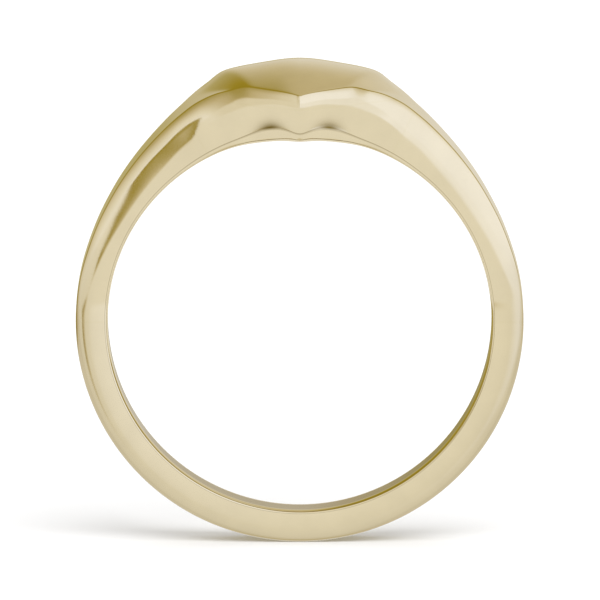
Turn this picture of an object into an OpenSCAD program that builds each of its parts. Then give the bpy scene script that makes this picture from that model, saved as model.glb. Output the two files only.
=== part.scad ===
// Signet ring with a domed heart face.
// Millimetres. The finger hole runs along Y, +Z is up through the face,
// and the origin is the centre of the finger hole. The heart's tip points to -Y.
// An angle is measured at the origin from +X (0) to the top of the face (90), the same on both sides.

/* [Finger hole] */
// Inside diameter of the ring, a standard finger size
bore_d = 17.35; // [16.5:0.05:18.5]

/* [Band] */
// Radial thickness of the plain band
band_t = 1.45; // [1.2:0.05:1.8]
// Width of the plain band along the finger
band_w = 1.86; // [1.7:0.02:2.2]
// Rounding of the plain band's outer edges
band_round = 0.24; // [0.15:0.01:0.3]

/* [Head] */
// Height of the face's crown above the finger hole's wall
head_rise = 3.14; // [2.9:0.02:3.4]
// Radius of the domed face
dome_r = 10.7; // [10:0.1:12]
// Distance from the middle of the band to the heart's tip
tip_reach = 4.3; // [4:0.05:4.6]
// Distance from the middle of the band to the heart's lobes
lobe_reach = 3.75; // [3.5:0.05:4]
// Half the heart's width, level with the middle of the band
flank_half = 3.1; // [2.9:0.05:3.3]
// How much the heart widens towards its lobes, per millimetre
flank_flare = 0.26; // [0.2:0.01:0.3]
// Slope of the shoulders where they fall away from the heart
skirt_slope = 0.5; // [0.4:0.05:0.6]

/* [Joints] */
// Angle at which the shoulders meet the head
head_joint = 62; // [60:1:64]
// Height of the face plate's flat underside
plate_z = 10.25; // [10.2:0.05:10.3]
// Thickness of the solder in each joint
solder_t = 0.08; // [0.06:0.01:0.1]

/* [Hidden] */

GOLD = [0.87, 0.80, 0.62];
SOLDER = [0.83, 0.76, 0.58];

bore_r = bore_d / 2;
band_r = bore_r + band_t;
dome_z = bore_r + head_rise - dome_r;
crest_flat = 0.06;      // how far the dome's sides are planed below a true sphere
crest_half = 3.6;       // distance from the middle over which the sides are planed
flare_end = 2;          // distance towards the lobes at which the heart stops widening
crease_soft = 0.1;      // softness of the line between the heart and the shoulders
dome_from = 55;         // angle below which only the shoulders shape the outer surface
join_soft = 0.06;       // softness of the join between the dome and the shoulders
undercut = 1.5;         // how quickly the heart's side walls draw in above the finger hole
cove_h = 0.9;           // height of the hollow over the finger hole's edge
low_point = 0.35;       // share of the wall below the roll at which its profile has a point
core_gap = 0.35;        // how far a blank reaches into the hole before it is bored
sharp_round = 0.05;     // rounding of the crisp upper edges
solder_a = solder_t / (bore_r + band_t) * 90 / PI;  // half the angle that a solder seam fills
ray_rounds = 14;        // repeats that settle a point on the dome

// Each of these is a short list of [angle, value].
// Rise of the shoulders above the plain band.
SHOULDER_RISE = [[0, 0], [18, 0], [30, 0.08], [40, 0.24], [50, 0.48], [60, 0.82],
                 [66, 1.04], [72, 1.14], [80, 0.95], [90, 0.55]];
// Half-width of the outer surface, towards the tip and towards the lobes.
TIP_EDGE = [[0, 0.88], [4, 0.88], [20, 0.92], [36, 0.98], [48, 1.07], [58, 1.22], [62, 1.29],
             [66, 1.43], [70, 1.73], [74, 2.2], [78, 2.82], [84, 3.65], [90, tip_reach]];
LOBE_EDGE = [[0, 0.88], [4, 0.88], [20, 0.92], [36, 0.98], [48, 1.07], [58, 1.3], [62, 1.5], [66, 2.1],
             [70, 2.85], [74, 3.45], [79, lobe_reach], [84, 3.6], [87.5, 3.2], [90, 2.75]];
// Half-width of the cylindrical wall of the finger hole.
TIP_BORE = [[0, 0.65], [4, 0.65], [16, 0.82], [30, 1.05], [48, 1.3], [58, 1.46], [66, 1.62],
             [70, 1.8], [74, 2.1], [78, 2.5], [83, 2.82], [86, 3.06], [90, 3.4]];
LOBE_BORE = [[0, 0.65], [4, 0.65], [16, 0.82], [30, 1.05], [48, 1.3], [58, 1.48], [66, 2.0], [72, 2.6],
             [78, 2.95], [84, 2.85], [90, 2.3]];
// Width and height of the eased inner edge.
TIP_EASE_W = [[0, 0.28], [54, 0.2], [72, 0.3], [78, 0.42], [84, 0.5], [90, 0.49]];
TIP_EASE_H = [[0, 0.14], [48, 0.17], [60, 0.24], [72, 0.38], [78, 0.62], [82, 0.74],
             [85, 0.7], [90, 0.46]];
LOBE_EASE_W = [[0, 0.28], [54, 0.2], [72, 0.3], [90, 0.3]];
LOBE_EASE_H = [[0, 0.14], [48, 0.17], [60, 0.24], [72, 0.36], [90, 0.36]];
// Depth and height of the roll that turns a side wall over into the outer edge.
ROLL_D = [[0, 0.12], [4, 0.12], [10, 0.21], [16, 0.28], [30, 0.38], [48, 0.46], [62, 0.46],
             [72, 0.46], [80, 0.44], [90, 0.26]];
ROLL_H = [[0, 0.66], [4, 0.66], [10, 0.79], [16, 0.9], [30, 1.1], [48, 1.2], [58, 1.15], [66, 1.2],
             [74, 1.35], [80, 1.3], [90, 0.95]];
// Steepness of the hollow over the finger hole's edge, beside the heart's tip.
COVE = [[0, 0], [70, 0], [76, 0.25], [80, 0.95], [83, 1.25], [86, 0.95], [90, 0.1]];
// Rounding of the outer edge.
EDGE_ROUND = [[0, band_round], [15, sharp_round], [90, sharp_round]];

// ---- smooth interpolation through a list of [angle, value] ----
function rate(list, i) = (list[i + 1][1] - list[i][1]) / (list[i + 1][0] - list[i][0]);
function blend_rate(p, q) = p * q <= 0 ? 0 : 2 * p * q / (p + q);
function slope_at(list, i) =
    i == 0 ? rate(list, 0)
    : i == len(list) - 1 ? rate(list, i - 1)
    : blend_rate(rate(list, i - 1), rate(list, i));
function span_of(list, t, i = 0) =
    i >= len(list) - 2 || t < list[i + 1][0] ? i : span_of(list, t, i + 1);
function hermite(y0, m0, y1, m1, s) =
    y0 * (1 + 2 * s) * (1 - s) * (1 - s) + m0 * s * (1 - s) * (1 - s)
    + y1 * s * s * (3 - 2 * s) - m1 * s * s * (1 - s);
function smooth_span(list, t, i) =
    let (h = list[i + 1][0] - list[i][0])
    hermite(list[i][1], slope_at(list, i) * h,
            list[i + 1][1], slope_at(list, i + 1) * h, (t - list[i][0]) / h);
function smooth(list, a) = smooth_span(list, a, span_of(list, a));

// ---- outer surface ----
function soft_plus(d) = crease_soft * ln(1 + exp(d / crease_soft));
function past_flank(x, y) =
    (abs(x) - flank_half - flank_flare * min(y, flare_end)) * cos(atan(flank_flare));
function dome(x, y) =
    dome_z + sqrt(dome_r * dome_r - x * x - y * y)
    - crest_flat * pow(sin(180 * min(abs(x) / crest_half, 1)), 2)
    - skirt_slope * soft_plus(past_flank(x, y));
function on_ray(a, y, rounds = ray_rounds, r = bore_r + head_rise) =
    rounds == 0 ? r : on_ray(a, y, rounds - 1, dome(r * cos(a), y) / sin(a));
function soft_max(p, q) = (p + q + sqrt(pow(p - q, 2) + pow(join_soft, 2))) / 2;
function shoulder(a) = band_r + smooth(SHOULDER_RISE, a);
function crown(a, y) = a < dome_from ? shoulder(a) : soft_max(on_ray(a, y), shoulder(a));

// ---- sections, as points [radius, y] ----
function eased(strip, w, h) =
    [for (t = [40 : 25 : 90]) [bore_r + h * (1 - cos(t)), strip + w * sin(t)]];
function wall_y(r, foot, edge, roll_d, roll_h, cove) =
    edge[1] + roll_d
    - (edge[1] + roll_d - foot[1]) * pow((edge[0] - r) / (edge[0] - foot[0]), undercut)
    - roll_d * pow(max(0, (r - edge[0] + roll_h) / roll_h), 2)
    - cove * (r - foot[0]) * pow(max(0, 1 - (r - foot[0]) / cove_h), 3);
function corner(foot, edge, roll_d, roll_h, cove, size, low) =
    let (start = [edge[0] - size, wall_y(edge[0] - size, foot, edge, roll_d, roll_h, cove)],
         finish = [low, edge[1] - size])
    [for (t = [0 : 0.5 : 1]) (1 - t) * (1 - t) * start + 2 * t * (1 - t) * edge + t * t * finish];
function flank(a, foot, edge, cove, low) =
    let (roll_d = smooth(ROLL_D, a), roll_h = smooth(ROLL_H, a), size = smooth(EDGE_ROUND, a),
         turn = edge[0] - roll_h)
    concat(
        [for (r = [foot[0] + (turn - foot[0]) * low_point,
                   each [for (i = [0 : 2]) turn + (roll_h - size) * i / 3]])
            [r, wall_y(r, foot, edge, roll_d, roll_h, cove)]],
        corner(foot, edge, roll_d, roll_h, cove, size, low));
function half_section(a, side, edge_list, bore_list, w_list, h_list) =
    let (strip = smooth(bore_list, a),
         w = smooth(w_list, a),
         h = smooth(h_list, a),
         edge_y = smooth(edge_list, a),
         size = smooth(EDGE_ROUND, a),
         ease = eased(strip, w, h),
         edge = [crown(a, side * edge_y), edge_y])
    concat([[bore_r - core_gap, strip - w / 2]], ease,
           flank(a, ease[2], edge, side < 0 ? smooth(COVE, a) : 0,
                 crown(a, side * (edge_y - size))));
function tip_half(a) = half_section(a, -1, TIP_EDGE, TIP_BORE, TIP_EASE_W, TIP_EASE_H);
function lobe_half(a) = half_section(a, 1, LOBE_EDGE, LOBE_BORE, LOBE_EASE_W, LOBE_EASE_H);
function across(a, parts) =
    let (size = smooth(EDGE_ROUND, a),
         low = -smooth(TIP_EDGE, a) + size,
         high = smooth(LOBE_EDGE, a) - size)
    [for (i = [1 : 1 : parts - 1])
        let (y = low + (high - low) * i / parts)
        [crown(a, y), y]];
function reversed(list) = [for (i = [len(list) - 1 : -1 : 0]) list[i]];
function section(a, parts) =
    concat([for (p = tip_half(a)) [p[0], -p[1]]], across(a, parts), reversed(lobe_half(a)));

// ---- blanks and cuts ----
// Solid swept between two angles, from 0 at +X to 180 at -X, before it is bored.
// Its sections are a step apart, and parts, an odd number, is the facets across its outer surface.
module blank(from, to, parts = 1, step = 3) {
    count = ceil((to - from) / step);
    rings = [for (i = [0 : count])
        let (t = from + (to - from) * i / count, a = max(0, min(t, 180 - t)))
        [for (p = section(a, parts)) [p[0] * cos(t), p[1], p[0] * sin(t)]]];
    n = len(rings[0]);
    sides = [for (i = [0 : count - 1], j = [0 : n - 1])
        let (here = i * n, next = here + n, k = (j + 1) % n)
        each [[here + j, next + k, here + k], [here + j, next + j, next + k]]];
    first = [for (j = [0 : n / 2 - 2]) let (k = n - 1 - j)
        each [[j, j + 1, k - 1], [j, k - 1, k]]];
    last = [for (f = first) [for (v = reversed(f)) count * n + v]];
    polyhedron([for (ring = rings) each ring], concat(first, sides, last), convexity = 8);
}

module bored() {
    difference() {
        children();
        rotate([90, 0, 0]) cylinder(r = bore_r, h = 4 * tip_reach, center = true, $fn = 180);
    }
}

module above(z) {
    translate([-dome_r, -dome_r, z]) cube([2 * dome_r, 2 * dome_r, dome_r]);
}

module head_blank() {
    blank(head_joint + solder_a, 180 - head_joint - solder_a, parts = 11, step = 2);
}

// ---- sub-parts ----
module signet_face() {
    color(GOLD) intersection() {
        head_blank();
        above(plate_z + solder_t);
    }
}

module face_solder() {
    color(SOLDER) intersection() {
        head_blank();
        translate([-dome_r, -dome_r, plate_z]) cube([2 * dome_r, 2 * dome_r, solder_t]);
    }
}

module head_base() {
    color(GOLD) bored() difference() {
        head_blank();
        above(plate_z);
    }
}

module right_shoulder() {
    color(GOLD) bored() blank(solder_a, head_joint - solder_a);
}

module left_shoulder() {
    color(GOLD) bored() blank(180 - head_joint + solder_a, 180 - solder_a);
}

module solder_seam(t) {
    color(SOLDER) bored() blank(t - solder_a, t + solder_a);
}

module right_head_solder() {
    solder_seam(head_joint);
}

module left_head_solder() {
    solder_seam(180 - head_joint);
}

module right_shank_solder() {
    solder_seam(0);
}

module left_shank_solder() {
    solder_seam(180);
}

module lower_shank() {
    color(GOLD) bored() rotate([90, 0, 0]) rotate([0, 0, 180 + solder_a])
        rotate_extrude(angle = 180 - 2 * solder_a, $fn = 180)
            polygon([for (p = section(0, 1)) [p[0], -p[1]]]);
}

signet_face();
face_solder();
head_base();
left_shoulder();
right_shoulder();
left_head_solder();
right_head_solder();
lower_shank();
left_shank_solder();
right_shank_solder();
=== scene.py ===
import math

import bmesh
import bpy
import numpy as np
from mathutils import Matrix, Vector
from mathutils.bvhtree import BVHTree


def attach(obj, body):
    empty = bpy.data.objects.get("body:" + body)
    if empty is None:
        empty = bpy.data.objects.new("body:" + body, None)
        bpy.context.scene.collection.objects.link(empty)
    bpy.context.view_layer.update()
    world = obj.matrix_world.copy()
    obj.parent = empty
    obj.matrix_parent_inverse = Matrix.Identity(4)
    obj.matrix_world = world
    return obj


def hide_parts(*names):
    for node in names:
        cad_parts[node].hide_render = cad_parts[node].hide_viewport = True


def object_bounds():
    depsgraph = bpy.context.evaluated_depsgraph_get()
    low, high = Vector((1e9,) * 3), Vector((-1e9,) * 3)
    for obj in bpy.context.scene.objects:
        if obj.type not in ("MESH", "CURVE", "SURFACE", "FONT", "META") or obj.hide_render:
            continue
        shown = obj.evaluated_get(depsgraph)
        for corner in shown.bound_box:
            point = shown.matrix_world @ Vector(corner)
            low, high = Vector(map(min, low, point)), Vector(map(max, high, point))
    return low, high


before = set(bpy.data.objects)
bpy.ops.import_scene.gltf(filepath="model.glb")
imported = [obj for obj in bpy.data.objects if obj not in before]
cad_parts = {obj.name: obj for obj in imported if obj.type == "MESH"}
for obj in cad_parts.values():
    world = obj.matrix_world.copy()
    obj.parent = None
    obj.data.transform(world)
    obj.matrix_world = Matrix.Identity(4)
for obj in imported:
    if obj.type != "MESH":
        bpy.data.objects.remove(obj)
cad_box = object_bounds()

MM = 0.001

# ---------------------------------------------------------------- dimensions, in mm and degrees
BORE_R = 8.675
BAND_T = 1.45
BAND_R = BORE_R + BAND_T
HEAD_RISE = 3.14
DOME_R = 10.7
DOME_Z = BORE_R + HEAD_RISE - DOME_R
# The dome fades in over DOME_FADE degrees, from DOME_FROM.
DOME_FROM = 55
DOME_FADE = 4
TIP_REACH = 4.3
LOBE_REACH = 3.75
FLANK_HALF = 3.1
FLANK_FLARE = 0.26
FLARE_END = 2
SKIRT_SLOPE = 0.5
CREST_FLAT = 0.06
CREST_HALF = 3.6
CREASE_SOFT = 0.1
JOIN_SOFT = 0.06
HEAD_JOINT = 62
PLATE_Z = 10.25
SOLDER_T = 0.08
UNDERCUT = 1.5
COVE_H = 0.9
# Half the angle that a solder film takes up round the band.
SEAM = SOLDER_T / BAND_R * 90 / math.pi

# Lists of (angle from the shoulder side, value). A side wall starts at the finger hole's edge, at BORE,
# crosses an eased strip, EASE_W wide and EASE_H high, and ends at the ridge, at EDGE. It rolls over by ROLL_D
# within ROLL_H of the ridge. COVE is the depth of the hollows at the foot of the tip's wall.
SHOULDER_RISE = [(0, 0), (18, 0), (30, 0.08), (40, 0.24), (50, 0.48), (60, 0.82), (66, 1.04), (72, 1.14),
                 (80, 0.95), (90, 0.55)]
TIP_EDGE = [(0, 0.88), (4, 0.88), (20, 0.92), (36, 0.98), (48, 1.07), (58, 1.22), (62, 1.29), (66, 1.43),
            (70, 1.73), (74, 2.2), (78, 2.82), (84, 3.65), (90, TIP_REACH)]
LOBE_EDGE = [(0, 0.88), (4, 0.88), (20, 0.92), (36, 0.98), (48, 1.07), (58, 1.3), (62, 1.5), (66, 2.1),
             (70, 2.85), (74, 3.45), (79, LOBE_REACH), (84, 3.6), (87.5, 3.2), (90, 2.75)]
TIP_BORE = [(0, 0.65), (4, 0.65), (16, 0.82), (30, 1.05), (48, 1.3), (58, 1.46), (66, 1.62), (70, 1.8),
            (74, 2.1), (78, 2.5), (83, 2.82), (86, 3.06), (90, 3.4)]
LOBE_BORE = [(0, 0.65), (4, 0.65), (16, 0.82), (30, 1.05), (48, 1.3), (58, 1.48), (66, 2.0), (72, 2.6),
             (78, 2.95), (84, 2.85), (90, 2.3)]
TIP_EASE_W = [(0, 0.28), (54, 0.2), (72, 0.3), (78, 0.42), (84, 0.5), (90, 0.49)]
TIP_EASE_H = [(0, 0.14), (48, 0.17), (60, 0.24), (72, 0.38), (78, 0.62), (82, 0.74), (85, 0.7), (90, 0.46)]
LOBE_EASE_W = [(0, 0.28), (54, 0.2), (72, 0.3), (90, 0.3)]
LOBE_EASE_H = [(0, 0.14), (48, 0.17), (60, 0.24), (72, 0.36), (90, 0.36)]
ROLL_D = [(0, 0.12), (4, 0.12), (10, 0.21), (16, 0.28), (30, 0.38), (48, 0.46), (62, 0.46), (72, 0.46),
          (80, 0.44), (90, 0.26)]
ROLL_H = [(0, 0.66), (4, 0.66), (10, 0.79), (16, 0.9), (30, 1.1), (48, 1.2), (58, 1.15), (66, 1.2),
          (74, 1.35), (80, 1.3), (90, 0.95)]
COVE = [(0, 0), (70, 0), (76, 0.25), (80, 0.95), (83, 1.25), (86, 0.95), (90, 0.1)]
EDGE_ROUND = [(0, 0.24), (15, 0.05), (90, 0.05)]
TIP = (TIP_EDGE, TIP_BORE, TIP_EASE_W, TIP_EASE_H)
LOBE = (LOBE_EDGE, LOBE_BORE, LOBE_EASE_W, LOBE_EASE_H)

# How wide, in degrees, the lists' bends are polished out, and how wide the crease at 90 is eased at the foot
# of the wall and at the ridge.
BLUR = 2.0
SHOULDER_BLUR = 0.5
FOOT_SOFT = 2.5
RIDGE_SOFT = 0.3

# Painted shade, standing in for dark reflections and shade, from 0, bright, to 1, dark: in the finger hole,
# at its edge, at the foot of the side walls, towards the ridge of the plain band, where it ends at the end
# angle given below, in degrees, and in the hollows beside the tip.
HOLE_PAINTED_SHADE = 0.64
HOLE_EDGE_PAINTED_SHADE = 0.3
FOOT_PAINTED_SHADE = 0.55
BAND_PAINTED_SHADE = 0.26
BAND_PAINTED_SHADE_END = 24
HOLLOW_PAINTED_SHADE = 0.95
HOLLOW_AT = 81.8
HOLLOW_SPREAD = 2.4
HOLLOW_H = 0.24
HOLLOW_FALL = 1.3

# Steps of the mesh: along each stretch of a section, round the upper half as (first, end, step), and round
# the lower half. WALL_SPREAD sets the wall's steps closer together at its foot.
N_EASE = 8
N_WALL = 22
N_CORNER = 6
N_CROWN = 36
N_BORE = 8
WALL_SPREAD = 1.6
UPPER_STEPS = [(1, HEAD_JOINT, 0.8), (HEAD_JOINT + 0.8, 82, 0.4), (82, 89, 0.25), (89, 90.01, 0.125)]
N_LOWER = 150
# Rounds in which crown() closes in on the dome.
CROWN_ROUNDS = 40

# ---------------------------------------------------------------- curves over the angle
# A list's values are worked out once on a grid of angles and blurred there, BLUR_STEPS to each side.
GRID_STEP = 0.05
GRID = np.arange(-12, 102.001, GRID_STEP)
BLUR_STEPS = 100
curves = {}


def hermite(table, a):
    """Value of a table at angle a, by a monotone cubic through its entries, straight on beyond 90."""
    xs = [float(x) for x, _ in table]
    ys = [float(y) for _, y in table]
    last = len(xs) - 1
    rates = [(ys[i + 1] - ys[i]) / (xs[i + 1] - xs[i]) for i in range(last)]
    slopes = [rates[0]]
    for p, q in zip(rates, rates[1:]):
        slopes.append(0.0 if p * q <= 0 else 2 * p * q / (p + q))
    slopes.append(rates[-1])
    if a <= 0:
        return ys[0]
    if a >= 90:
        return ys[-1] + slopes[-1] * (a - 90)
    i = last - 1
    while i > 0 and a < xs[i]:
        i -= 1
    h = xs[i + 1] - xs[i]
    s = (a - xs[i]) / h
    return (ys[i] * (1 + 2 * s) * (1 - s) ** 2 + slopes[i] * h * s * (1 - s) ** 2
            + ys[i + 1] * s * s * (3 - 2 * s) - slopes[i + 1] * h * s * s * (1 - s))


def smooth(table, a, blur=BLUR):
    """Value of a table at angle a, with the bends at its entries polished out."""
    key = (id(table), blur)
    if key not in curves:
        values = np.array([hermite(table, g) for g in GRID])
        reach = np.arange(-BLUR_STEPS, BLUR_STEPS + 1) * GRID_STEP
        kernel = np.exp(-0.5 * (reach / blur) ** 2)
        kernel /= kernel.sum()
        curves[key] = np.convolve(np.pad(values, BLUR_STEPS, "edge"), kernel, "valid")
    return float(np.interp(a, GRID, curves[key]))


def softened(a, width):
    """Angle a with the crease at 90 eased over a width."""
    d = 90 - a
    return 90 - d * math.tanh(d / width)


# ---------------------------------------------------------------- the ring's surface
def dome(x, y):
    """Height of the domed face over a point of the plan, with the skirt that falls to the shoulders."""
    past = np.abs(x) - FLANK_HALF - FLANK_FLARE * np.minimum(y, FLARE_END)
    past = past * math.cos(math.atan(FLANK_FLARE))
    return (DOME_Z + np.sqrt(DOME_R ** 2 - x * x - y * y)
            - CREST_FLAT * np.sin(np.pi * np.minimum(np.abs(x) / CREST_HALF, 1)) ** 2
            - SKIRT_SLOPE * CREASE_SOFT * np.logaddexp(0, past / CREASE_SOFT))


def crown(a, y):
    """Radius of the outer surface at angle a and place y along the finger."""
    y = np.asarray(y, dtype=float)
    shoulder = BAND_R + smooth(SHOULDER_RISE, a, SHOULDER_BLUR)
    if a < DOME_FROM:
        return np.full_like(y, shoulder)
    r = np.full_like(y, BORE_R + HEAD_RISE)
    for _ in range(CROWN_ROUNDS):
        r = dome(r * math.cos(math.radians(a)), y) / math.sin(math.radians(a))
    above = (r - shoulder + np.sqrt((r - shoulder) ** 2 + JOIN_SOFT ** 2)) / 2
    fade = min(1.0, (a - DOME_FROM) / DOME_FADE)
    return shoulder + above * fade * fade * (3 - 2 * fade)


def wall_painted_shade(a, side, over_foot, height):
    """Painted shade at the eased strip, then at each height over the foot of the wall."""
    painted_shade = np.zeros(N_EASE + len(over_foot))
    # Painted shade at the finger hole's edge and in the crease at the foot of the wall.
    painted_shade[0] = HOLE_EDGE_PAINTED_SHADE
    painted_shade[N_EASE] = FOOT_PAINTED_SHADE
    # Painted shade, darker towards the ridge of the plain band, round the lower half and fading out towards
    # the shoulders.
    painted_shade[N_EASE:] += BAND_PAINTED_SHADE * (over_foot / height) ** 2 * max(0.0, 1 - a / BAND_PAINTED_SHADE_END)
    if side < 0:
        # Painted shade in the hollows beside the tip, darkest at the foot and fading up the wall.
        dark = HOLLOW_PAINTED_SHADE * math.exp(-0.5 * ((a - HOLLOW_AT) / HOLLOW_SPREAD) ** 2)
        hollow = dark * np.exp(-(over_foot / HOLLOW_H) ** HOLLOW_FALL)
        painted_shade[N_EASE:] = np.maximum(painted_shade[N_EASE:], hollow)
    return painted_shade


def half_section(a, side, tables):
    """Points (radius, distance from the middle, painted shade) from the finger hole's wall out to the ridge.
    """
    edge_list, bore_list, width_list, height_list = tables
    foot = softened(a, FOOT_SOFT)
    strip = smooth(bore_list, foot)
    ease_w = smooth(width_list, foot)
    ease_h = smooth(height_list, foot)
    cove = smooth(COVE, foot) if side < 0 else 0
    edge_y = smooth(edge_list, softened(a, RIDGE_SOFT))
    edge_round = smooth(EDGE_ROUND, a)
    roll_d = smooth(ROLL_D, a)
    roll_h = smooth(ROLL_H, a)
    foot_r = BORE_R + ease_h
    foot_y = strip + ease_w
    edge_r = float(crown(a, side * edge_y))
    crown_r = float(crown(a, side * (edge_y - edge_round)))

    bend = np.linspace(0, math.pi / 2, N_EASE + 1)
    ease = np.stack([BORE_R + ease_h * (1 - np.cos(bend)), strip + ease_w * np.sin(bend)], 1)

    along = (np.arange(1, N_WALL + 1) / N_WALL) ** WALL_SPREAD
    r = foot_r + (edge_r - edge_round - foot_r) * along
    over_foot = r - foot_r
    top = edge_y + roll_d
    y = (top - (top - foot_y) * ((edge_r - r) / (edge_r - foot_r)) ** UNDERCUT
         - roll_d * np.maximum(0, (r - edge_r + roll_h) / roll_h) ** 2
         - cove * over_foot * np.maximum(0, 1 - over_foot / COVE_H) ** 3)
    wall = np.stack([r, y], 1)

    ridge = np.array([edge_r, edge_y])
    end = np.array([crown_r, edge_y - edge_round])
    s = np.linspace(0, 1, N_CORNER + 1)[1:, None]
    corner = (1 - s) ** 2 * wall[-1] + 2 * s * (1 - s) * ridge + s * s * end

    over_foot = np.concatenate([[0], over_foot, np.full(N_CORNER, edge_r - foot_r)])
    painted_shade = wall_painted_shade(a, side, over_foot, edge_r - foot_r)
    return np.column_stack([np.concatenate([ease, wall, corner]), painted_shade])


def section(a):
    """Closed section at angle a as (radius, y, painted shade), starting at the tip side of the hole's wall.
    """
    tip = half_section(a, -1, TIP)
    lobe = half_section(a, 1, LOBE)
    tip[:, 1] *= -1
    ys = np.linspace(tip[-1, 1], lobe[-1, 1], N_CROWN + 1)[1:-1]
    across = np.stack([crown(a, ys), ys, 0 * ys], 1)
    ys = np.linspace(lobe[0, 1], tip[0, 1], N_BORE + 1)[1:-1]
    # The finger hole's wall is painted darker all over: painted shade.
    bore = np.stack([np.full_like(ys, BORE_R), ys, np.full_like(ys, HOLE_PAINTED_SHADE)], 1)
    return np.concatenate([tip, across, lobe[::-1], bore])


def sweep_angles():
    """Angles round the ring, from 0 at +X to 360, closer together at the head's middle."""
    half = [0.0, SEAM, HEAD_JOINT - SEAM, HEAD_JOINT + SEAM]
    for first, end, step in UPPER_STEPS:
        half += list(np.arange(first, end, step))
    half = sorted(set(round(float(v), 6) for v in half))
    lower = list(np.linspace(180 + SEAM, 360 - SEAM, N_LOWER))
    return half + [180 - v for v in reversed(half[:-1])] + lower


def folded(t):
    """Angle from the nearer shoulder side over the upper half, and 0 all round the lower half."""
    return min(t, 180 - t) if t <= 180 else 0.0


angles = sweep_angles()
rings = []
# How much painted shade darkens each point, ring by ring.
painted_shade_of = []
for t in angles:
    r, y, painted_shade = section(folded(t)).T
    x = r * math.cos(math.radians(t))
    z = r * math.sin(math.radians(t))
    rings.append(np.stack([x, y, z], 1) * MM)
    painted_shade_of.append(painted_shade)
rings = np.array(rings)
n_rings, n_points = rings.shape[:2]

# ---------------------------------------------------------------- the whole skin's normals
# They are measured on one skin for the whole ring, so that neighbouring pieces meet with the same normals.
skin_faces = []
for i in range(n_rings):
    here = i * n_points
    ahead = (i + 1) % n_rings * n_points
    for j in range(n_points):
        k = (j + 1) % n_points
        skin_faces.append((here + j, here + k, ahead + k, ahead + j))
skin = bpy.data.meshes.new("skin")
skin.from_pydata([tuple(v) for v in rings.reshape(-1, 3)], [], skin_faces)
skin.validate()
skin.update()
skin.shade_smooth()
skin_places = [v.co.copy() for v in skin.vertices]
skin_normals = np.array([tuple(v.normal) for v in skin.vertices])
skin_tree = BVHTree.FromPolygons(skin_places, skin_faces)
bpy.data.meshes.remove(skin)


def skin_normal(place):
    """The whole skin's normal at its nearest point."""
    hit, _, index, _ = skin_tree.find_nearest(place)
    quad = skin_faces[index]
    weights = np.array([1 / max((skin_places[k] - hit).length, 1e-9) ** 2 for k in quad])
    n = (skin_normals[list(quad)] * weights[:, None]).sum(0)
    return tuple(n / np.linalg.norm(n))


# ---------------------------------------------------------------- making a piece
def nearest_ring(t):
    """Number of the ring of points nearest to angle t."""
    return min(range(n_rings), key=lambda i: abs((angles[i] - t + 180) % 360 - 180))


def swept(first, last):
    """bmesh of the solid between two angles, with a flat cap at each end."""
    start = nearest_ring(first)
    stop = nearest_ring(last)
    if stop <= start:
        stop += n_rings
    bm = bmesh.new()
    cap = bm.faces.layers.int.new("cap")
    # Each point carries how much painted shade darkens it.
    painted_shade = bm.verts.layers.float.new("painted_shade")
    rows = []
    for i in range(start, stop + 1):
        row = [bm.verts.new(tuple(v)) for v in rings[i % n_rings]]
        for v, g in zip(row, painted_shade_of[i % n_rings]):
            v[painted_shade] = g
        rows.append(row)
    for here, ahead in zip(rows, rows[1:]):
        for j in range(n_points):
            k = (j + 1) % n_points
            bm.faces.new((here[j], here[k], ahead[k], ahead[j]))
    for row in (rows[0], rows[-1]):
        bm.faces.new(row)[cap] = 1
    return bm


def cut(bm, z, keep_above):
    """Cuts bm at a height and closes it with a flat face."""
    cap = bm.faces.layers.int["cap"]
    done = bmesh.ops.bisect_plane(
        bm, geom=bm.verts[:] + bm.edges[:] + bm.faces[:], dist=1e-8,
        plane_co=(0, 0, z * MM), plane_no=(0, 0, 1),
        clear_outer=not keep_above, clear_inner=keep_above)
    edges = [e for e in done["geom_cut"] if isinstance(e, bmesh.types.BMEdge)]
    rim = [e for e in edges if e.is_valid and e.is_boundary]
    for f in bmesh.ops.holes_fill(bm, edges=rim)["faces"]:
        f[cap] = 1


def add_piece(bm, node, material):
    """Turns bm into the piece for a CAD node, with the skin's normals outside and its joint faces flat."""
    cap = bm.faces.layers.int["cap"]
    bmesh.ops.recalc_face_normals(bm, faces=bm.faces)
    is_cap = [f[cap] for f in bm.faces]
    mesh = bpy.data.meshes.new(node + "_skin")
    bm.to_mesh(mesh)
    bm.free()
    outside = {}
    normals = []
    for face in mesh.polygons:
        face.use_smooth = True
        for k in face.vertices:
            if is_cap[face.index]:
                normals.append(tuple(face.normal))
                continue
            if k not in outside:
                outside[k] = skin_normal(mesh.vertices[k].co)
            normals.append(outside[k])
    mesh.normals_split_custom_set(normals)
    mesh.materials.append(material)
    piece = bpy.data.objects.new(node + "_skin", mesh)
    bpy.context.scene.collection.objects.link(piece)
    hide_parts(node)
    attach(piece, "root")


# ---------------------------------------------------------------- materials
GOLD_COLOUR = (0.75, 0.655, 0.43)
GOLD_ROUGHNESS = 0.075
SOLDER_COLOUR = (0.745, 0.65, 0.42)
SOLDER_ROUGHNESS = 0.085
# Clouds of tone and gloss, about 1.5 mm across, and faint hairlines, about 0.1 mm apart, along the finger.
CLOUDS = {"Scale": 700, "Detail": 4, "Roughness": 0.55}
CLOUD_TONE = (0.965, 1.02)
CLOUD_GLOSS = (-0.02, 0.03)
HAIRS = {"Scale": 1, "Detail": 6, "Roughness": 0.7}
# Nearly all of a noise lies between these values.
NOISE_RANGE = (0.3, 0.7)
HAIR_STRETCH = (9000, 1500, 9000)
HAIR_STRENGTH = 0.05
HAIR_DEPTH = 0.00001
# Painted shade: the dark olive colour and the duller roughness mixed in where the mask is high.
PAINTED_SHADE_COLOUR = (0.17, 0.11, 0.006)
PAINTED_SHADE_ROUGHNESS = 0.22


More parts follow.
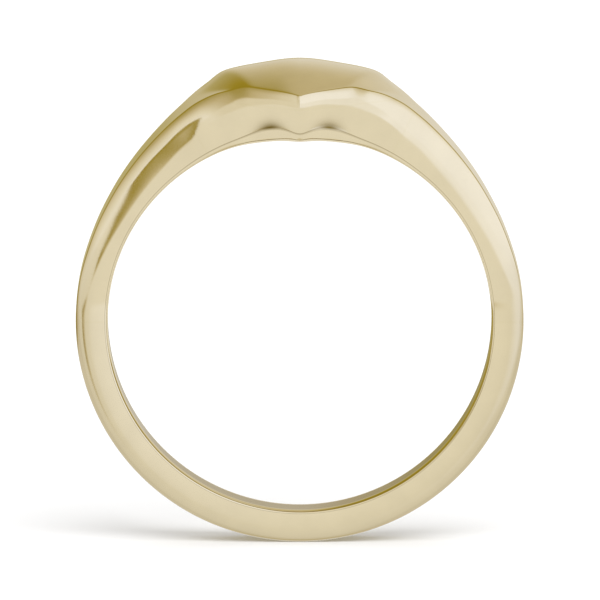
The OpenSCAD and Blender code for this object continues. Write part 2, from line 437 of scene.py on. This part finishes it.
def noise(tree, vector, settings):
    """Output of a noise texture."""
    n = tree.nodes.new("ShaderNodeTexNoise")
    for key, value in settings.items():
        n.inputs[key].default_value = value
    tree.links.new(vector, n.inputs["Vector"])
    return n.outputs["Fac"]


def stretched(tree, socket, lo, hi):
    """A noise stretched to go from lo to hi."""
    n = tree.nodes.new("ShaderNodeMapRange")
    for key, value in zip(("From Min", "From Max", "To Min", "To Max"), (*NOISE_RANGE, lo, hi)):
        n.inputs[key].default_value = value
    tree.links.new(socket, n.inputs["Value"])
    return n.outputs["Result"]


def gold(name, colour, roughness):
    """Polished gold: hairline scratches, slow changes of gloss, and a little dull painted shade in the
    recesses, the finger hole and towards the band's ridge.
    """
    mat = bpy.data.materials.new(name)
    mat.use_nodes = True
    tree = mat.node_tree
    link = tree.links.new
    bsdf = tree.nodes["Principled BSDF"]
    bsdf.inputs["Metallic"].default_value = 1.0
    coord = tree.nodes.new("ShaderNodeTexCoord")
    clouds = noise(tree, coord.outputs["Object"], CLOUDS)
    # The painted shade mask mixes the colour towards a dark olive and makes the gloss duller.
    painted_shade = tree.nodes.new("ShaderNodeAttribute")
    painted_shade.attribute_name = "painted_shade"

    tint = tree.nodes.new("ShaderNodeMix")
    tint.data_type = "RGBA"
    tint.inputs[6].default_value = (*colour, 1)
    tint.inputs[7].default_value = (*PAINTED_SHADE_COLOUR, 1)
    link(painted_shade.outputs["Fac"], tint.inputs[0])
    shade = tree.nodes.new("ShaderNodeMix")
    shade.data_type = "RGBA"
    shade.blend_type = "MULTIPLY"
    shade.inputs[0].default_value = 1.0
    link(tint.outputs[2], shade.inputs[6])
    link(stretched(tree, clouds, *CLOUD_TONE), shade.inputs[7])
    link(shade.outputs[2], bsdf.inputs["Base Color"])

    dull = tree.nodes.new("ShaderNodeMath")
    dull.operation = "MULTIPLY_ADD"
    dull.inputs[1].default_value = PAINTED_SHADE_ROUGHNESS
    link(painted_shade.outputs["Fac"], dull.inputs[0])
    smoother, rougher = CLOUD_GLOSS
    link(stretched(tree, clouds, roughness + smoother, roughness + rougher), dull.inputs[2])
    link(dull.outputs[0], bsdf.inputs["Roughness"])

    mapping = tree.nodes.new("ShaderNodeMapping")
    mapping.inputs["Scale"].default_value = HAIR_STRETCH
    link(coord.outputs["Object"], mapping.inputs["Vector"])
    bump = tree.nodes.new("ShaderNodeBump")
    bump.inputs["Strength"].default_value = HAIR_STRENGTH
    bump.inputs["Distance"].default_value = HAIR_DEPTH
    link(noise(tree, mapping.outputs["Vector"], HAIRS), bump.inputs["Height"])
    link(bump.outputs["Normal"], bsdf.inputs["Normal"])
    return mat


materials = {
    "gold": gold("polished_gold", GOLD_COLOUR, GOLD_ROUGHNESS),
    "solder": gold("polished_solder", SOLDER_COLOUR, SOLDER_ROUGHNESS),
}

# ---------------------------------------------------------------- pieces of the band
LEFT_JOINT = 180 - HEAD_JOINT
# As (CAD node, first angle, last angle, slot).
BAND = [
    ("lower_shank", 180 + SEAM, 360 - SEAM, "gold"),
    ("right_shank_solder", 360 - SEAM, SEAM, "solder"),
    ("right_shoulder", SEAM, HEAD_JOINT - SEAM, "gold"),
    ("right_head_solder", HEAD_JOINT - SEAM, HEAD_JOINT + SEAM, "solder"),
    ("left_head_solder", LEFT_JOINT - SEAM, LEFT_JOINT + SEAM, "solder"),
    ("left_shoulder", LEFT_JOINT + SEAM, 180 - SEAM, "gold"),
    ("left_shank_solder", 180 - SEAM, 180 + SEAM, "solder"),
]
for name, first, last, kind in BAND:
    add_piece(swept(first, last), name, materials[kind])

# ---------------------------------------------------------------- pieces of the head
FILM_TOP = PLATE_Z + SOLDER_T
# As (CAD node, bottom, top, slot).
HEAD = [
    ("head_base", None, PLATE_Z, "gold"),
    ("face_solder", PLATE_Z, FILM_TOP, "solder"),
    ("signet_face", FILM_TOP, None, "gold"),
]
for name, bottom, top, kind in HEAD:
    block = swept(HEAD_JOINT + SEAM, LEFT_JOINT - SEAM)
    if bottom is not None:
        cut(block, bottom, True)
    if top is not None:
        cut(block, top, False)
    add_piece(block, name, materials[kind])

# ---------------------------------------------------------------- floor
FLOOR_SIZE = 6
FLOOR_CELLS = 8
FLOOR_WHITE = (0.9, 0.9, 0.9, 1)
FLOOR_ROUGHNESS = 0.9

bpy.ops.mesh.primitive_grid_add(
    x_subdivisions=FLOOR_CELLS, y_subdivisions=FLOOR_CELLS, size=FLOOR_SIZE, location=(0, 0, cad_box[0].z))
floor = bpy.context.object
floor.name = "floor"
floor_mat = bpy.data.materials.new("floor")
floor_mat.use_nodes = True
floor_paint = floor_mat.node_tree.nodes["Principled BSDF"]
floor_paint.inputs["Base Color"].default_value = FLOOR_WHITE
floor_paint.inputs["Roughness"].default_value = FLOOR_ROUGHNESS
floor_paint.inputs["Specular IOR Level"].default_value = 0.0
floor.data.materials.append(floor_mat)
floor.visible_glossy = False

# ---------------------------------------------------------------- light
# The studio: a cool softbox front right, a dim warm flag all down the left, a grey ceiling and a pale back.
# Each list is (azimuth from the front, brightness), positive to the right, for one band of heights.
BELOW = [(-180, 0.62), (-170, 0.5), (-150, 0.45), (-110, 0.5), (-88, 0.75), (-78, 0.9), (-60, 0.92),
         (-45, 1.0), (-20, 0.97), (0, 0.97), (10, 1.05), (18, 1.12), (45, 1.15), (56, 1.1), (70, 1.08),
         (80, 1.08), (88, 0.95), (100, 0.85), (130, 0.93), (165, 0.93), (180, 0.62)]
LOW = [(-180, 0.8), (-172, 0.64), (-164, 0.5), (-150, 0.42), (-110, 0.42), (-86, 0.48), (-76, 0.62),
       (-64, 0.78), (-53, 0.95), (-44, 1.05), (-20, 0.95), (3, 1.05), (20, 1.15), (73, 1.18), (82, 1.1),
       (92, 0.55), (102, 0.34), (112, 0.36), (135, 0.76), (150, 0.84), (165, 0.78), (180, 0.8)]
HIGH = [(-180, 0.66), (-174, 0.63), (-168, 0.5), (-160, 0.4), (-150, 0.37), (-110, 0.4), (-74, 0.42),
        (-66, 0.52), (-59, 0.72), (-52, 0.95), (-30, 0.95), (-12, 0.95), (8, 1.05), (30, 1.15), (62, 1.12),
        (72, 0.85), (82, 0.55), (100, 0.4), (115, 0.5), (140, 0.82), (158, 0.76), (168, 0.68), (180, 0.66)]
UNDERFOOT = 0.8
GROUND = 0.98
CEILING = 0.6
# The heights, in degrees, over which each band of the studio gives way to the next one up.
TO_GROUND = (-81, -63)
TO_BELOW = (-17.1, -12.6)
TO_LOW = (-1.8, 2.7)
TO_HIGH = (10.8, 37.8)
TO_CEILING = (58.5, 90)
# A black card at the front left. CARD is the share of light left there, from the front, at 0, to the card's
# sharp left edge, at 1. That edge is CARD_EDGE degrees to the left, and nearer to the front below CARD_TOP.
# The card fades in over the heights CARD_FOOT and out over CARD_HEAD.
CARD = [(0, 1), (0.5, 1), (0.6, 0.92), (0.7, 0.74), (0.8, 0.57), (0.88, 0.46), (0.995, 0.36), (1, 1)]
CARD_TOP = 10
CARD_EDGE = 44
CARD_LEAN = 1.2
CARD_FOOT = (-17.1, -11.7)
CARD_HEAD = (15.3, 20.7)
# Brightness and its colour, warm where the studio is dim and cool in the softbox.
TINT = [(0.3, (0.3, 0.235, 0.02)), (0.4, (0.4, 0.315, 0.035)), (0.5, (0.5, 0.43, 0.18)),
        (0.7, (0.7, 0.63, 0.46)), (0.95, (0.95, 0.94, 0.93)), (1.15, (1.15, 1.2, 1.45)),
        (1.4, (1.4, 1.5, 1.9))]
# What matt surfaces see of the world, before STRENGTH.
MATT_LIGHT = (0.46, 0.46, 0.46, 1)
# A ramp's colours are kept below 1, so brightness is divided by this first and multiplied by it at the end.
STRENGTH = 2.0
SUN_ENERGY = 1.4
SUN_ANGLE = 50
SUN_TURN = (28, 18, 0)

world = bpy.data.worlds.new("studio")
bpy.context.scene.world = world
world.use_nodes = True
nodes = world.node_tree.nodes
link = world.node_tree.links.new
background = nodes["Background"]


def feed(socket, value):
    """Sets an input socket to a number, or links an output to it."""
    if isinstance(value, (int, float)):
        socket.default_value = value
    else:
        link(value, socket)


def calc(operation, a, b=0.0, clamp=False):
    """Output of a Math node over sockets or numbers."""
    n = nodes.new("ShaderNodeMath")
    n.operation = operation
    n.use_clamp = clamp
    feed(n.inputs[0], a)
    feed(n.inputs[1], b)
    return n.outputs[0]


def mixed(factor, a, b):
    """Linear mix of two sockets or numbers."""
    n = nodes.new("ShaderNodeMix")
    n.data_type = "FLOAT"
    link(factor, n.inputs[0])
    feed(n.inputs[2], a)
    feed(n.inputs[3], b)
    return n.outputs[0]


def ramp(stops, socket):
    """A linear colour ramp over the socket's value, from 0 to 1."""
    n = nodes.new("ShaderNodeValToRGB")
    n.color_ramp.interpolation = "LINEAR"
    while len(n.color_ramp.elements) < len(stops):
        n.color_ramp.elements.new(0.5)
    for e, (place, _) in zip(n.color_ramp.elements, stops):
        e.position = place
    for e, (_, rgb) in zip(n.color_ramp.elements, stops):
        e.color = (*rgb, 1)
    link(socket, n.inputs["Fac"])
    return n.outputs["Color"]


coord = nodes.new("ShaderNodeTexCoord")
parts = nodes.new("ShaderNodeSeparateXYZ")
link(coord.outputs["Generated"], parts.inputs[0])
# The azimuth in radians, the azimuth as a share of a turn from the back, and the elevation in right angles.
azimuth = calc("ARCTAN2", parts.outputs[0], calc("MULTIPLY", parts.outputs[1], -1.0))
turn = calc("ADD", calc("DIVIDE", azimuth, 2 * math.pi), 0.5)
elevation = calc("DIVIDE", calc("ARCSINE", parts.outputs[2]), math.pi / 2)


def band(table):
    """Brightness from a table over azimuth, divided by STRENGTH."""
    return ramp([((a + 180) / 360, (v / STRENGTH,) * 3) for a, v in table], turn)


def rise(heights):
    """Smooth step, from 0 at the lower of two heights to 1 at the upper one."""
    n = nodes.new("ShaderNodeMapRange")
    n.interpolation_type = "SMOOTHSTEP"
    n.inputs["From Min"].default_value = heights[0] / 90
    n.inputs["From Max"].default_value = heights[1] / 90
    link(elevation, n.inputs["Value"])
    return n.outputs["Result"]


def studio_brightness():
    """Brightness of the studio without its card, divided by STRENGTH, from the ground up."""
    level = UNDERFOOT / STRENGTH
    for heights, next_up in (
            (TO_GROUND, GROUND / STRENGTH),
            (TO_BELOW, band(BELOW)),
            (TO_LOW, band(LOW)),
            (TO_HIGH, band(HIGH)),
            (TO_CEILING, CEILING / STRENGTH)):
        level = mixed(rise(heights), level, next_up)
    return level


def card_share():
    """Share of the studio's light that the card leaves."""
    drop = calc("MAXIMUM", calc("SUBTRACT", CARD_TOP / 90, elevation), 0.0)
    edge = calc("SUBTRACT", CARD_EDGE / 180, calc("MULTIPLY", drop, CARD_LEAN / 2))
    place = calc("DIVIDE", calc("MULTIPLY", azimuth, -1 / math.pi), edge, clamp=True)
    share = ramp([(p, (v, v, v)) for p, v in CARD], place)
    height = calc("MULTIPLY", rise(CARD_FOOT), calc("SUBTRACT", 1.0, rise(CARD_HEAD)))
    return mixed(height, 1.0, share)


brightest = TINT[-1][0]
brightness = calc("MULTIPLY", studio_brightness(), card_share())
colour = ramp([(v / brightest, tuple(c / STRENGTH for c in rgb)) for v, rgb in TINT],
              calc("MULTIPLY", brightness, STRENGTH / brightest, clamp=True))
path = nodes.new("ShaderNodeLightPath")
seen = nodes.new("ShaderNodeMix")
seen.data_type = "RGBA"
link(path.outputs["Is Diffuse Ray"], seen.inputs[0])
link(colour, seen.inputs[6])
seen.inputs[7].default_value = MATT_LIGHT
link(seen.outputs[2], background.inputs["Color"])
background.inputs["Strength"].default_value = STRENGTH

sun_data = bpy.data.lights.new("key", "SUN")
sun_data.energy = SUN_ENERGY
sun_data.angle = math.radians(SUN_ANGLE)
sun = bpy.data.objects.new("key", sun_data)
bpy.context.scene.collection.objects.link(sun)
sun.rotation_euler = [math.radians(v) for v in SUN_TURN]
sun.visible_glossy = False

# ---------------------------------------------------------------- camera
# It looks along the finger hole from a little above. VIEW_W is the width of what it sees there. It aims at a
# point AIM_X right of the hole's middle and AIM_UP above it in the picture. Lengths are in mm.
CAM_RISE = math.radians(10)
CAM_DISTANCE = 1000
CAM_SENSOR = 36
VIEW_W = 27.137
AIM_X = 0.0136
AIM_UP = 0.837

back = Vector((0, -math.cos(CAM_RISE), math.sin(CAM_RISE)))
up = Vector((0, math.sin(CAM_RISE), math.cos(CAM_RISE)))
aim = Vector((AIM_X, 0, 0)) * MM + up * AIM_UP * MM
cam_data = bpy.data.cameras.new("camera")
cam_data.sensor_width = CAM_SENSOR
cam_data.lens = CAM_SENSOR * CAM_DISTANCE / VIEW_W
cam_data.clip_start = 0.01
cam_data.clip_end = 10
cam = bpy.data.objects.new("camera", cam_data)
bpy.context.scene.collection.objects.link(cam)
cam.rotation_mode = "QUATERNION"
cam.location = aim + back * CAM_DISTANCE * MM
cam.rotation_quaternion = (-back).to_track_quat("-Z", "Y")
bpy.context.scene.camera = cam
bpy.context.scene.view_settings.view_transform = "Standard"
